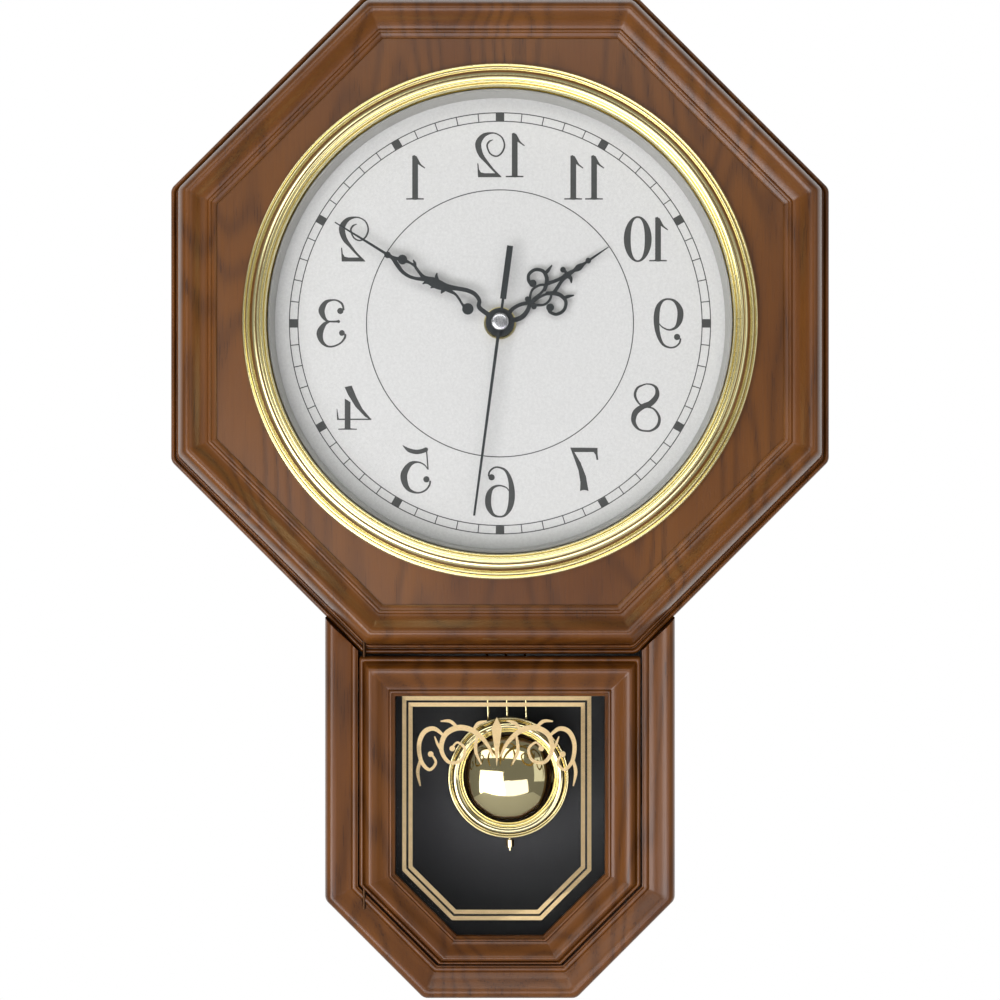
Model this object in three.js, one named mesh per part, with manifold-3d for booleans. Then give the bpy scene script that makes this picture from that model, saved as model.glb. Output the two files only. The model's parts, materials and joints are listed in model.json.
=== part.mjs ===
// Schoolhouse wall clock with a quartz movement and a swinging pendulum.
// Millimetres, +X right, +Z up, the dial faces -Y and the wall is the plane y = 0.
// Shapes are drawn about the dial axis; the whole clock is then moved so that the
// origin is the point where the wall screw carries it.

import * as THREE from 'three';
import { mergeVertices } from 'three/addons/utils/BufferGeometryUtils.js';
import Module from 'manifold-3d';

const wasm = await Module();
wasm.setup();

// ---------- driving dimensions ----------

const GAP = 0.3;                     // clearance between pieces that touch
const GLUE_LINE = 0.12;              // gap between two mitred bars

const OCTAGON_WIDTH = 305;           // across the flats
const OCTAGON_MOULDING = 23;         // width of its moulding, seen from the front
const PANEL_RECESS_R = 106.4;        // shallow recess for the dial, in the face panel
const CASE_WIDTH = 161.6;            // the long box behind, and the drop below
const CASE_TOP = 118;
const CASE_BOTTOM = -311;
const CASE_CHAMFER = 45.5;
const BOARD = 6;                     // case board thickness
const BACKBOARD = 5;
const HOOK_Z = 100;                  // wall screw above the dial axis

const CASE_FRONT_Y = -50;
const PANEL_FRONT_Y = -70;
const DIAL_FRONT_Y = -62;
const BEZEL_OUTER_R = 117.4;
const BEZEL_INNER_R = 105.6;
const BEZEL_FRONT_Y = -80.6;
const GLASS_Y = [-73.6, -75.6];

const DROP_MOULDING = 15.2;
const DROP_TOP = -125;               // before it is cut to the octagon's lower corners
const DOOR_GAP = 0.8;
const DOOR_TOP = -153.3;
const DOOR_CHAMFER = 36.6;
const DOOR_WIDTHS = { top: 18, side: 16.3, corner: 15, bottom: 13 };
const DOOR_BACK_Y = -53;
const DOOR_PIVOT = { x: -62.6, y: -58.9, r: 0.8 };
const REBATE = 0.8;                  // share of a door bar's width in front of the glass edge

const MINUTE_ANGLE = 58.8;           // degrees from twelve, the way this clock's hands go
const HOUR_ANGLE = 300 + MINUTE_ANGLE / 12;
const SECOND_ANGLE = 172.4;
const PENDULUM_ANGLE = 1.2;          // caught in mid-swing
const PENDULUM_PIVOT_Z = -20;
const PENDULUM_Y = -38;
const MAGNET_BELOW_PIVOT = 15;

// ---------- materials ----------

const finish = (color, roughness, metalness = 0) =>
  new THREE.MeshStandardMaterial({ color, roughness, metalness });

const WOOD = finish(0x734b21, 0.45);
const FACE_WOOD = finish(0x7d5630, 0.45);
const BLACK_BOARD = finish(0x25262a, 0.8);
const BRASS = finish(0xc2ac66, 0.25, 1);
const STEEL = finish(0xb9bcc0, 0.3, 1);
const GREY_PLASTIC = finish(0x80807a, 0.4);
const BLACK_PLASTIC = finish(0x2a2b2d, 0.5);
const WHITE_PLASTIC = finish(0xe8e6de, 0.5);
const DIAL_WHITE = finish(0xe3e4df, 0.6);
const HAND_BLACK = finish(0x2c3030, 0.4);
const GLASS = finish(0xdfe8e6, 0.05);
GLASS.transparent = true;
GLASS.opacity = 0.3;
const COPPER = finish(0xb5673a, 0.35, 1);
const BRONZE = finish(0x3a2818, 0.45, 1);

// ---------- solids ----------

// One closed body: shared corners merged, empty triangles dropped, faces outward.
function closed(geometry) {
  const bare = geometry.clone();
  bare.deleteAttribute('normal');
  bare.deleteAttribute('uv');
  const merged = mergeVertices(bare, 1e-4);
  const old = merged.index.array;
  const index = [];
  for (let i = 0; i < old.length; i += 3) {
    const [a, b, c] = [old[i], old[i + 1], old[i + 2]];
    if (a !== b && b !== c && a !== c) index.push(a, b, c);
  }
  merged.setIndex(index);
  if (signedVolume(merged) < 0) merged.setIndex([...index].reverse());
  merged.computeVertexNormals();
  return merged;
}

function signedVolume(geometry) {
  const at = geometry.attributes.position;
  const index = geometry.index.array;
  const [a, b, c] = [new THREE.Vector3(), new THREE.Vector3(), new THREE.Vector3()];
  let sum = 0;
  for (let i = 0; i < index.length; i += 3) {
    a.fromBufferAttribute(at, index[i]);
    b.fromBufferAttribute(at, index[i + 1]);
    c.fromBufferAttribute(at, index[i + 2]);
    sum += a.dot(b.cross(c));
  }
  return sum / 6;
}

function toManifold(geometry) {
  const mesh = new wasm.Mesh({
    numProp: 3,
    vertProperties: new Float32Array(geometry.attributes.position.array),
    triVerts: new Uint32Array(geometry.index.array),
  });
  return new wasm.Manifold(mesh);
}

function fromManifold(solid) {
  const mesh = solid.getMesh();
  const geometry = new THREE.BufferGeometry();
  geometry.setAttribute('position', new THREE.BufferAttribute(mesh.vertProperties, 3));
  geometry.setIndex(new THREE.BufferAttribute(mesh.triVerts, 1));
  return closed(geometry);
}

function cut(geometry, ...tools) {
  let solid = toManifold(geometry);
  for (const tool of tools) solid = solid.subtract(toManifold(tool));
  return fromManifold(solid);
}

function join(geometry, ...others) {
  let solid = toManifold(geometry);
  for (const other of others) solid = solid.add(toManifold(other));
  return fromManifold(solid);
}

function shapeOf(points) {
  return new THREE.Shape(points.map(([x, z]) => new THREE.Vector2(x, z)));
}

// A flat outline in X and Z, standing from yBack forward to yFront.
function slab(shape, yBack, yFront, curveSegments = 12) {
  const depth = yBack - yFront;
  const geometry = new THREE.ExtrudeGeometry(shape, { depth, bevelEnabled: false, curveSegments });
  geometry.rotateX(Math.PI / 2);
  geometry.translate(0, yBack, 0);
  return closed(geometry);
}

function box([x0, x1], [y0, y1], [z0, z1]) {
  const geometry = new THREE.BoxGeometry(x1 - x0, Math.abs(y1 - y0), z1 - z0);
  geometry.translate((x0 + x1) / 2, (y0 + y1) / 2, (z0 + z1) / 2);
  return closed(geometry);
}

// A closed [radius, y] profile turned about a line parallel to Y.
function turned(profile, segments, x = 0, z = 0) {
  const points = profile.map(([r, y]) => new THREE.Vector2(r, y));
  if (profile[0][0] !== 0) points.push(points[0].clone());
  const geometry = new THREE.LatheGeometry(points, segments);
  geometry.translate(x, 0, z);
  return closed(geometry);
}

function disc(r, yBack, yFront, segments = 24, x = 0, z = 0) {
  return turned([[0, yBack], [r, yBack], [r, yFront], [0, yFront]], segments, x, z);
}

function tube(outer, inner, yBack, yFront, segments = 24, x = 0, z = 0) {
  const profile = [[inner, yBack], [outer, yBack], [outer, yFront], [inner, yFront]];
  return turned(profile, segments, x, z);
}

function upright(r, z0, z1, x, y, segments = 12) {
  const geometry = new THREE.CylinderGeometry(r, r, z1 - z0, segments);
  geometry.rotateX(Math.PI / 2);
  geometry.translate(x, y, (z0 + z1) / 2);
  return closed(geometry);
}

// ---------- mitred bars ----------

// Where the lines of two neighbouring sides meet, each moved inward by its own distance.
function insetCorner(outline, i, insets) {
  const count = outline.length;
  const before = (i + count - 1) % count;
  const line = (k) => {
    const [ax, az] = outline[k];
    const [bx, bz] = outline[(k + 1) % count];
    const length = Math.hypot(bx - ax, bz - az);
    const [dx, dz] = [(bx - ax) / length, (bz - az) / length];
    return { px: ax - dz * insets[k], pz: az + dx * insets[k], dx, dz };
  };
  const [p, q] = [line(before), line(i)];
  const cross = p.dx * q.dz - p.dz * q.dx;
  const along = ((q.px - p.px) * q.dz - (q.pz - p.pz) * q.dx) / cross;
  return [p.px + p.dx * along, p.pz + p.dz * along];
}

function insetOutline(outline, inset) {
  const insets = outline.map(() => inset);
  return outline.map((_, i) => insetCorner(outline, i, insets));
}

// The bar on side i of an outline that runs anticlockwise. Its section is a closed list of
// [share of the side's width, y]; both ends are mitred to the neighbouring sides.
function mitredBar(outline, i, widths, section) {
  const count = outline.length;
  const [ax, az] = outline[i];
  const [bx, bz] = outline[(i + 1) % count];
  const length = Math.hypot(bx - ax, bz - az);
  const shift = GLUE_LINE / 2 / length;
  const [sx, sz] = [(bx - ax) * shift, (bz - az) * shift];
  const positions = [];
  for (const [share, y] of section) {
    const insets = widths.map((width) => width * share);
    const [x, z] = insetCorner(outline, i, insets);
    positions.push(x + sx, y, z + sz);
  }
  for (const [share, y] of section) {
    const insets = widths.map((width) => width * share);
    const [x, z] = insetCorner(outline, (i + 1) % count, insets);
    positions.push(x - sx, y, z - sz);
  }
  const n = section.length;
  const contour = section.map(([share, y]) => new THREE.Vector2(share * widths[i], y));
  const index = [];
  for (const [a, b, c] of THREE.ShapeUtils.triangulateShape(contour, [])) {
    index.push(a, b, c, n + c, n + b, n + a);
  }
  const clockwise = THREE.ShapeUtils.isClockWise(contour);
  for (let k = 0; k < n; k += 1) {
    const next = (k + 1) % n;
    if (clockwise) index.push(k, next, n + k, next, n + next, n + k);
    else index.push(next, k, n + k, next, n + k, n + next);
  }
  const geometry = new THREE.BufferGeometry();
  geometry.setAttribute('position', new THREE.Float32BufferAttribute(positions, 3));
  geometry.setIndex(index);
  return closed(geometry);
}

// ---------- outlines, anticlockwise from the front ----------

function octagonOutline(width) {
  const r = width / 2 / Math.cos(Math.PI / 8);
  const corners = [];
  for (let i = 0; i < 8; i += 1) {
    const angle = Math.PI * (0.125 + i * 0.25);
    corners.push([r * Math.cos(angle), r * Math.sin(angle)]);
  }
  return corners;
}

// A box with both lower corners cut off at 45 degrees, from its top left corner.
function droppedOutline(width, top, bottom, chamfer) {
  const half = width / 2;
  return [
    [-half, top],
    [-half, bottom + chamfer],
    [-half + chamfer, bottom],
    [half - chamfer, bottom],
    [half, bottom + chamfer],
    [half, top],
  ];
}

const OCTAGON_SIDES = [
  'upper_right', 'top', 'upper_left', 'left', 'lower_left', 'bottom', 'lower_right', 'right',
];
const DROP_SIDES = ['left', 'lower_left', 'bottom', 'lower_right', 'right', 'top'];

const DOOR_WIDTH = CASE_WIDTH - 2 * (DROP_MOULDING + DOOR_GAP);
const DOOR_BOTTOM = CASE_BOTTOM + DROP_MOULDING + DOOR_GAP;
const DOOR_OUTLINE = droppedOutline(DOOR_WIDTH, DOOR_TOP, DOOR_BOTTOM, DOOR_CHAMFER);
const DOOR_BAR_WIDTHS = [
  DOOR_WIDTHS.side, DOOR_WIDTHS.corner, DOOR_WIDTHS.bottom,
  DOOR_WIDTHS.corner, DOOR_WIDTHS.side, DOOR_WIDTHS.top,
];

// ---------- moulding sections: [share of width from the outer edge, y] ----------

const OCTAGON_SECTION = [
  [0, CASE_FRONT_Y - GAP], [0, -54], [0.05, -56.2], [0.1, -56.8], [0.14, -56.2], [0.17, -60],
  [0.24, -68], [0.34, -74.6], [0.48, -78], [0.6, -77], [0.74, -73.4], [0.84, -72.2],
  [0.87, -72.8], [0.93, -71.6], [1, -71.2], [1, PANEL_FRONT_Y - GAP],
  [0.6, PANEL_FRONT_Y - GAP], [0.6, CASE_FRONT_Y - GAP],
];
const PANEL_INSET = OCTAGON_MOULDING * 0.6 + GAP;

const DROP_SECTION = [
  [0, CASE_FRONT_Y - GAP], [0, -57], [0.07, -60.6], [0.2, -62.4], [0.36, -62], [0.6, -60],
  [0.8, -58.6], [0.85, -59.6], [0.94, -59.8], [1, -58.8], [1, CASE_FRONT_Y - GAP],
];

const DOOR_SECTION = [
  [0, DOOR_BACK_Y], [0, -59.4], [0.05, -60.6], [0.12, -60.8], [0.16, -60.2], [0.24, -64.4],
  [0.34, -65.6], [0.48, -64.8], [0.7, -62], [0.84, -60.6], [0.9, -61.2], [1, -60.2],
  [1, -57], [REBATE, -57], [REBATE, DOOR_BACK_Y],
];

const BOARD_SECTION = [[0, 0], [0, CASE_FRONT_Y], [1, CASE_FRONT_Y], [1, 0]];

// ---------- assembly helpers ----------

const clock = new THREE.Group();
clock.position.z = -HOOK_Z;

function add(name, geometry, material, parent = clock) {
  const mesh = new THREE.Mesh(geometry, material);
  mesh.name = name;
  parent.add(mesh);
  return mesh;
}

function turnedGroup(degrees, z = 0) {
  const group = new THREE.Group();
  group.position.z = z;
  group.rotation.y = THREE.MathUtils.degToRad(-degrees);
  clock.add(group);
  return group;
}

// Holes for the two pins that the door turns on.
const pinHole = (z0, z1) => upright(DOOR_PIVOT.r + GAP, z0, z1, DOOR_PIVOT.x, DOOR_PIVOT.y);
const TOP_PIN = [-164, -145.5];
const BOTTOM_PIN = [-270, -250];
const topPinHole = pinHole(TOP_PIN[0] - GAP, TOP_PIN[1] + GAP);
const bottomPinHole = pinHole(BOTTOM_PIN[0] - GAP, BOTTOM_PIN[1] + GAP);

// ---------- octagonal head ----------

function buildHead() {
  const outline = octagonOutline(OCTAGON_WIDTH);
  const widths = outline.map(() => OCTAGON_MOULDING);
  OCTAGON_SIDES.forEach((side, i) => {
    const bar = mitredBar(outline, i, widths, OCTAGON_SECTION);
    const holdsPin = side === 'bottom' || side === 'lower_left';
    add(`octagon_moulding_${side}`, holdsPin ? cut(bar, topPinHole) : bar, WOOD);
  });

  const panelOutline = shapeOf(insetOutline(outline, PANEL_INSET));
  const board = slab(panelOutline, CASE_FRONT_Y - GAP, PANEL_FRONT_Y);
  const recess = disc(PANEL_RECESS_R, DIAL_FRONT_Y + 0.8 + GAP, PANEL_FRONT_Y - 5, 64);
  const movementHole = box([-33, 33], [CASE_FRONT_Y + 5, PANEL_FRONT_Y - 5], [-50, 32]);
  add('face_panel', cut(board, recess, movementHole), FACE_WOOD);
}

// ---------- case ----------

function buildCase() {
  const outline = droppedOutline(CASE_WIDTH, CASE_TOP, CASE_BOTTOM, CASE_CHAMFER);
  const widths = outline.map(() => BOARD);
  DROP_SIDES.forEach((side, i) => {
    add(`case_board_${side}`, mitredBar(outline, i, widths, BOARD_SECTION), WOOD);
  });

  const back = slab(shapeOf(insetOutline(outline, BOARD + GAP)), 0, -BACKBOARD);
  const accessHole = box([-45, 45], [5, -BACKBOARD - 5], [-62, 42]);
  const plateRecess = box([-18, 18], [5, -2], [HOOK_Z - 13, HOOK_Z + 9]);
  const screwSpace = box([-11, 11], [5, -BACKBOARD - 5], [HOOK_Z - 11, HOOK_Z + 7]);
  add('backboard', cut(back, accessHole, plateRecess, screwSpace), BLACK_BOARD);

  const frame = droppedOutline(CASE_WIDTH, DROP_TOP, CASE_BOTTOM, CASE_CHAMFER);
  const head = slab(shapeOf(octagonOutline(OCTAGON_WIDTH + 2 * GAP)), 0, BEZEL_FRONT_Y);
  const frameWidths = frame.map((_, i) => (DROP_SIDES[i] === 'top' ? 0 : DROP_MOULDING));
  DROP_SIDES.filter((side) => side !== 'top').forEach((side, i) => {
    let bar = mitredBar(frame, i, frameWidths, DROP_SECTION);
    if (side === 'left' || side === 'right') bar = cut(bar, head);
    if (side === 'lower_left') bar = cut(bar, bottomPinHole);
    add(`drop_moulding_${side}`, bar, WOOD);
  });
}

// A steel plate let into the backboard; the origin is where the screw's neck bears.
function buildHanger() {
  const neck = 2;
  const head = 4.5;
  const entry = HOOK_Z - 7;
  const plate = box([-18 + GAP, 18 - GAP], [0, -1.6], [HOOK_Z - 13 + GAP, HOOK_Z + 9 - GAP]);
  const slot = box([-neck, neck], [3, -5], [entry, HOOK_Z - neck]);
  const slotEnd = disc(neck, 3, -5, 16, 0, HOOK_Z - neck);
  add('hanger_plate', cut(plate, disc(head, 3, -5, 20, 0, entry), slot, slotEnd), STEEL);
}

// ---------- dial, bezel and glass ----------

const BEZEL_PROFILE = [
  [BEZEL_INNER_R, PANEL_FRONT_Y - GAP], [BEZEL_OUTER_R, PANEL_FRONT_Y - GAP],
  [BEZEL_OUTER_R, -72.6], [BEZEL_OUTER_R - 1.8, -74.4], [BEZEL_OUTER_R - 4, -75],
  [BEZEL_OUTER_R - 6, -78.6], [BEZEL_INNER_R + 3, BEZEL_FRONT_Y], [BEZEL_INNER_R + 1, -80],
  [BEZEL_INNER_R, -78.4], [BEZEL_INNER_R, GLASS_Y[1] - GAP],
  [BEZEL_INNER_R + 2, GLASS_Y[1] - GAP], [BEZEL_INNER_R + 2, GLASS_Y[0] + GAP],
  [BEZEL_INNER_R, GLASS_Y[0] + GAP],
];

function buildDial() {
  add('bezel_ring', turned(BEZEL_PROFILE, 64), BRASS);
  add('dial_glass', disc(BEZEL_INNER_R + 2 - GAP, GLASS_Y[0], GLASS_Y[1], 64), GLASS);
  const reflector = [
    [103.4, DIAL_FRONT_Y - GAP], [105, DIAL_FRONT_Y - GAP],
    [105.2, GLASS_Y[0] + GAP], [104.6, GLASS_Y[0] + GAP],
  ];
  add('reflector_ring', turned(reflector, 64), GREY_PLASTIC);
  add('dial_plate', tube(PANEL_RECESS_R - 0.4, 4.2, DIAL_FRONT_Y + 0.8, DIAL_FRONT_Y, 64), DIAL_WHITE);
}

// ---------- gears ----------

const SECONDS_MESH = 12.15;          // centre distance of the seconds train
const MOTION_MESH = 10;              // centre distance of the hour train
const THIRD_DIRECTION = THREE.MathUtils.degToRad(199);
const MOTION_DIRECTION = THREE.MathUtils.degToRad(-37);

const along = (distance, direction) =>
  [distance * Math.cos(direction), distance * Math.sin(direction)];
const THIRD_AT = along(SECONDS_MESH, THIRD_DIRECTION);
const MOTION_AT = along(MOTION_MESH, MOTION_DIRECTION);
const KNOB_AT = along(2 * MOTION_MESH, MOTION_DIRECTION);

// phase is the direction of the middle of one tooth
function gearShape(teeth, module, phase, [x, z]) {
  const tip = module * (teeth / 2 + 0.75);
  const root = module * (teeth / 2 - 1.05);
  const pitch = 2 * Math.PI / teeth;
  const points = [];
  for (let i = 0; i < teeth; i += 1) {
    const middle = phase + i * pitch;
    for (const [share, r] of [[-0.23, root], [-0.1, tip], [0.1, tip], [0.23, root]]) {
      const angle = middle + share * pitch;
      points.push([x + r * Math.cos(angle), z + r * Math.sin(angle)]);
    }
  }
  return shapeOf(points);
}

const gear = (teeth, module, phase, centre, yBack, yFront) =>
  slab(gearShape(teeth, module, phase, centre), yBack, yFront);
const half = (teeth) => Math.PI / teeth;
const secondsModule = (wheel, pinion) => 2 * SECONDS_MESH / (wheel + pinion);
const motionModule = (wheel, pinion) => 2 * MOTION_MESH / (wheel + pinion);

function buildTrain() {
  const centreModule = secondsModule(48, 6);
  const thirdModule = secondsModule(45, 6);
  const minuteModule = motionModule(24, 8);
  const hourModule = motionModule(32, 8);
  const toThird = THIRD_DIRECTION;
  const fromThird = THIRD_DIRECTION + Math.PI;
  const toMotion = MOTION_DIRECTION;
  const fromMotion = MOTION_DIRECTION + Math.PI;
  const axis = [0, 0];

  const centreWheel = gear(48, centreModule, toThird, axis, -54.8, -55.6);
  const cannon = gear(8, minuteModule, toMotion, axis, -55.5, -57.6);
  const centreArbor = disc(1.4, -54.8, -68.4, 20);
  const centreBore = disc(0.85, -50, -72, 20);
  add('centre_wheel', cut(join(centreWheel, cannon, centreArbor), centreBore), BRASS);

  const secondPinion = gear(6, thirdModule, THIRD_DIRECTION + half(6), axis, -52.8, -54);
  const secondArbor = disc(0.5, -49, -70.6, 12);
  add('second_wheel', join(secondPinion, secondArbor), STEEL);

  const thirdWheel = gear(45, thirdModule, fromThird, THIRD_AT, -53, -53.8);
  const thirdPinion = gear(6, centreModule, fromThird + half(6), THIRD_AT, -53.7, -55.9);
  const thirdArbor = disc(0.6, -50, -58, 12, ...THIRD_AT);
  add('third_wheel', join(thirdWheel, thirdPinion, thirdArbor), WHITE_PLASTIC);

  const motionPhase = fromMotion + half(24);
  const motionWheel = gear(24, minuteModule, motionPhase, MOTION_AT, -56.6, -57.4);
  const motionPinion = gear(8, hourModule, fromMotion, MOTION_AT, -57.3, -59.1);
  add('motion_wheel', join(motionWheel, motionPinion), WHITE_PLASTIC);

  const hourWheel = gear(32, hourModule, toMotion + half(32), axis, -58.2, -59);
  const hourTube = disc(2.3, -58.2, -65.8, 24);
  const hourBore = disc(1.75, -50, -72, 24);
  add('hour_wheel', cut(join(hourWheel, hourTube), hourBore), WHITE_PLASTIC);

  const knobPinion = gear(8, minuteModule, toMotion + Math.PI, KNOB_AT, -56.4, -57.6);
  const knobShaft = disc(1.2, -38.5, -57, 16, ...KNOB_AT);
  const knob = disc(6.5, -38, -41.8, 24, ...KNOB_AT);
  add('setting_knob', join(knobPinion, knobShaft, knob), BLACK_PLASTIC);
}

// ---------- movement case ----------

const CASE_X = 29;
const CASE_Z = [-46, 28];
const CASE_Y = [-44.4, -60.9];
const WALL = 1.5;

function buildMovement() {
  const outer = box([-CASE_X, CASE_X], CASE_Y, CASE_Z);
  const hollow = box(
    [-CASE_X + WALL, CASE_X - WALL], [CASE_Y[0] + 5, CASE_Y[1] + WALL],
    [CASE_Z[0] + WALL, CASE_Z[1] - WALL],
  );
  const stem = disc(3.9, CASE_Y[1] + 1, -64.4, 24);
  const bore = disc(2.65, -50, -72, 24);
  add('movement_housing', cut(join(cut(outer, hollow), stem), bore), BLACK_PLASTIC);

  const cover = box([-CASE_X, CASE_X], [CASE_Y[0] + GAP, CASE_Y[0] + GAP + WALL], CASE_Z);
  const pivot = disc(1.1, CASE_Y[0] + 1, -39.6, 16, 0, PENDULUM_PIVOT_Z);
  const shaftHole = disc(1.6, -30, -60, 16, ...KNOB_AT);
  add('movement_cover', cut(join(cover, pivot), shaftHole), BLACK_PLASTIC);

  add('hand_nut', tube(7.4, 4.2, DIAL_FRONT_Y - GAP, DIAL_FRONT_Y - 2.2), BRASS);

  const battery = new THREE.CylinderGeometry(7.1, 7.1, 49, 24);
  battery.rotateZ(Math.PI / 2);
  battery.translate(0, -52, 19);
  add('battery', closed(battery), STEEL);

  add('drive_coil', tube(8, 3, -46, -54, 24, 0, PENDULUM_PIVOT_Z - MAGNET_BELOW_PIVOT), COPPER);
}

// ---------- hands, drawn pointing up ----------

function strip(points, widths) {
  const left = [];
  const right = [];
  points.forEach(([x, z], i) => {
    const [ax, az] = points[Math.max(i - 1, 0)];
    const [bx, bz] = points[Math.min(i + 1, points.length - 1)];
    const length = Math.hypot(bx - ax, bz - az);
    const [nx, nz] = [-(bz - az) / length, (bx - ax) / length];
    left.push([x + nx * widths[i] / 2, z + nz * widths[i] / 2]);
    right.push([x - nx * widths[i] / 2, z - nz * widths[i] / 2]);
  });
  return shapeOf([...left, ...right.reverse()]);
}

function buildHands() {
  const hour = turnedGroup(HOUR_ANGLE);
  const hourBlade = strip(
    [[0, 0], [0, 10], [0, 17], [0, 24], [0, 33], [0, 40], [0, 61]],
    [5, 4, 7, 16, 16, 5, 1],
  );
  const hourBoss = disc(5.2, -64.7, -65.4, 24);
  const hourHand = cut(join(slab(hourBlade, -64.7, -65.4), hourBoss), disc(2.6, -60, -70, 24));
  add('hour_hand', hourHand, HAND_BLACK, hour);

  const minute = turnedGroup(MINUTE_ANGLE);
  const minuteBlade = strip(
    [[0, 0], [0, 14], [1.6, 19], [0, 28], [-0.6, 38], [0, 50], [0, 58], [0, 88]],
    [4, 3.4, 8, 7, 7.6, 5, 2, 0.8],
  );
  const minuteBoss = disc(6.5, -67, -67.7, 24);
  const minuteHand = cut(join(slab(minuteBlade, -67, -67.7), minuteBoss), disc(1.7, -60, -72, 20));
  add('minute_hand', minuteHand, HAND_BLACK, minute);

  const second = turnedGroup(SECOND_ANGLE);
  const secondBlade = strip(
    [[0, -35], [0, -11], [0, -10.4], [0, 0], [0, 89]],
    [2.9, 2.7, 1.3, 1.5, 1],
  );
  const secondBoss = disc(2.6, -69.4, -70, 20);
  const secondHand = cut(join(slab(secondBlade, -69.4, -70), secondBoss), disc(0.8, -60, -75, 12));
  add('second_hand', secondHand, HAND_BLACK, second);
  add('second_hand_cap', disc(3.9, -70.9, -72.2, 20), STEEL, second);
}

// ---------- pendulum, drawn hanging straight from its pivot ----------

const BOB_BELOW_PIVOT = 191.8;
const BOB_R = 28.8;
const BOB_HEIGHT = 10.5;              // a deep dish, so that it mirrors the whole doorway
const ROD_R = 0.6;
const ROD_SPACING = 9;
const YOKE_BELOW_PIVOT = 44;

function buildPendulum() {
  const swing = turnedGroup(PENDULUM_ANGLE, PENDULUM_PIVOT_Z);
  const armY = [-41, -42.2];
  const arm = box([-3, 3], armY, [-YOKE_BELOW_PIVOT + 2.5, 4]);
  const magnet = disc(5, armY[0], armY[1], 20, 0, -MAGNET_BELOW_PIVOT);
  const pivotHole = disc(1.5, -30, -50, 16);
  add('pendulum_arm', cut(join(arm, magnet), pivotHole), BLACK_PLASTIC, swing);

  const rodTop = -YOKE_BELOW_PIVOT - 3 - GAP;
  const yoke = box([-ROD_SPACING - 3, ROD_SPACING + 3], [PENDULUM_Y + 1, PENDULUM_Y - 1],
    [rodTop + GAP, -YOKE_BELOW_PIVOT + 1]);
  const hook = box([-2, 2], [PENDULUM_Y + 1, armY[0] + GAP], [-YOKE_BELOW_PIVOT, -YOKE_BELOW_PIVOT + 6]);
  add('pendulum_yoke', join(yoke, hook), BRASS, swing);

  const bobTop = -BOB_BELOW_PIVOT + BOB_R;
  const rodEnds = { left: bobTop - 8, centre: -BOB_BELOW_PIVOT - BOB_R - 6, right: bobTop - 8 };
  Object.entries(rodEnds).forEach(([name, end], i) => {
    const rod = upright(ROD_R, end, rodTop, (i - 1) * ROD_SPACING, PENDULUM_Y);
    add(`pendulum_rod_${name}`, rod, BRASS, swing);
  });

  const back = PENDULUM_Y - ROD_R - GAP;
  const bobProfile = [
    [0, back], [BOB_R - 2, back], [BOB_R, back - 0.6], [BOB_R, back - 1.8],
    [BOB_R - 1, back - 2.4], [BOB_R - 2, back - 1.6], [BOB_R - 4, back - 3.4],
    [BOB_R - 6, back - 3], [BOB_R - 6.4, back - 2.4], [19, back - 5.4], [14, back - 8],
    [8, back - 9.8], [0, back - BOB_HEIGHT],
  ];
  add('pendulum_bob', turned(bobProfile, 48, 0, -BOB_BELOW_PIVOT), BRASS, swing);

  const nut = upright(2, -BOB_BELOW_PIVOT - BOB_R - 4.2, -BOB_BELOW_PIVOT - BOB_R - 0.8, 0, PENDULUM_Y, 16);
  const thread = upright(ROD_R + GAP, -250, 0, 0, PENDULUM_Y);
  add('rating_nut', cut(nut, thread), BRASS, swing);
}

// ---------- door ----------

function buildDoor() {
  DROP_SIDES.forEach((side, i) => {
    let bar = mitredBar(DOOR_OUTLINE, i, DOOR_BAR_WIDTHS, DOOR_SECTION);
    if (side === 'left' || side === 'top') bar = cut(bar, topPinHole);
    if (side === 'left' || side === 'lower_left') bar = cut(bar, bottomPinHole);
    add(`door_frame_${side}`, bar, WOOD);
  });
  const insets = DOOR_BAR_WIDTHS.map((width) => width * REBATE + GAP);
  const glassOutline = DOOR_OUTLINE.map((_, i) => insetCorner(DOOR_OUTLINE, i, insets));
  add('door_glass', slab(shapeOf(glassOutline), -54.7, -56.7), GLASS);

  add('door_pin_top', upright(DOOR_PIVOT.r, ...TOP_PIN, DOOR_PIVOT.x, DOOR_PIVOT.y), BRONZE);
  add('door_pin_bottom', upright(DOOR_PIVOT.r, ...BOTTOM_PIN, DOOR_PIVOT.x, DOOR_PIVOT.y), BRONZE);
  add('door_magnet', box([56, 74.4], [-42, -49.8], [-223, -207]), BLACK_PLASTIC);
  add('door_strike', box([56.5, 63.5], [-50.4, -52.7], [-222, -208]), STEEL);
}

buildHead();
buildCase();
buildHanger();
buildDial();
buildTrain();
buildMovement();
buildHands();
buildPendulum();
buildDoor();

export default clock;
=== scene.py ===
"""Schoolhouse wall clock: finished surfaces, print, hands, glass and pendulum around the CAD frame.

Drawing dimensions are millimetres about the dial axis, with +X right and +Z up as seen from the
front; point() turns them into metres in the part's frame. The dial faces -Y.
"""

import json
import math

import bmesh
import bpy
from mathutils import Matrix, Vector
from mathutils.geometry import delaunay_2d_cdt, tessellate_polygon


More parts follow.
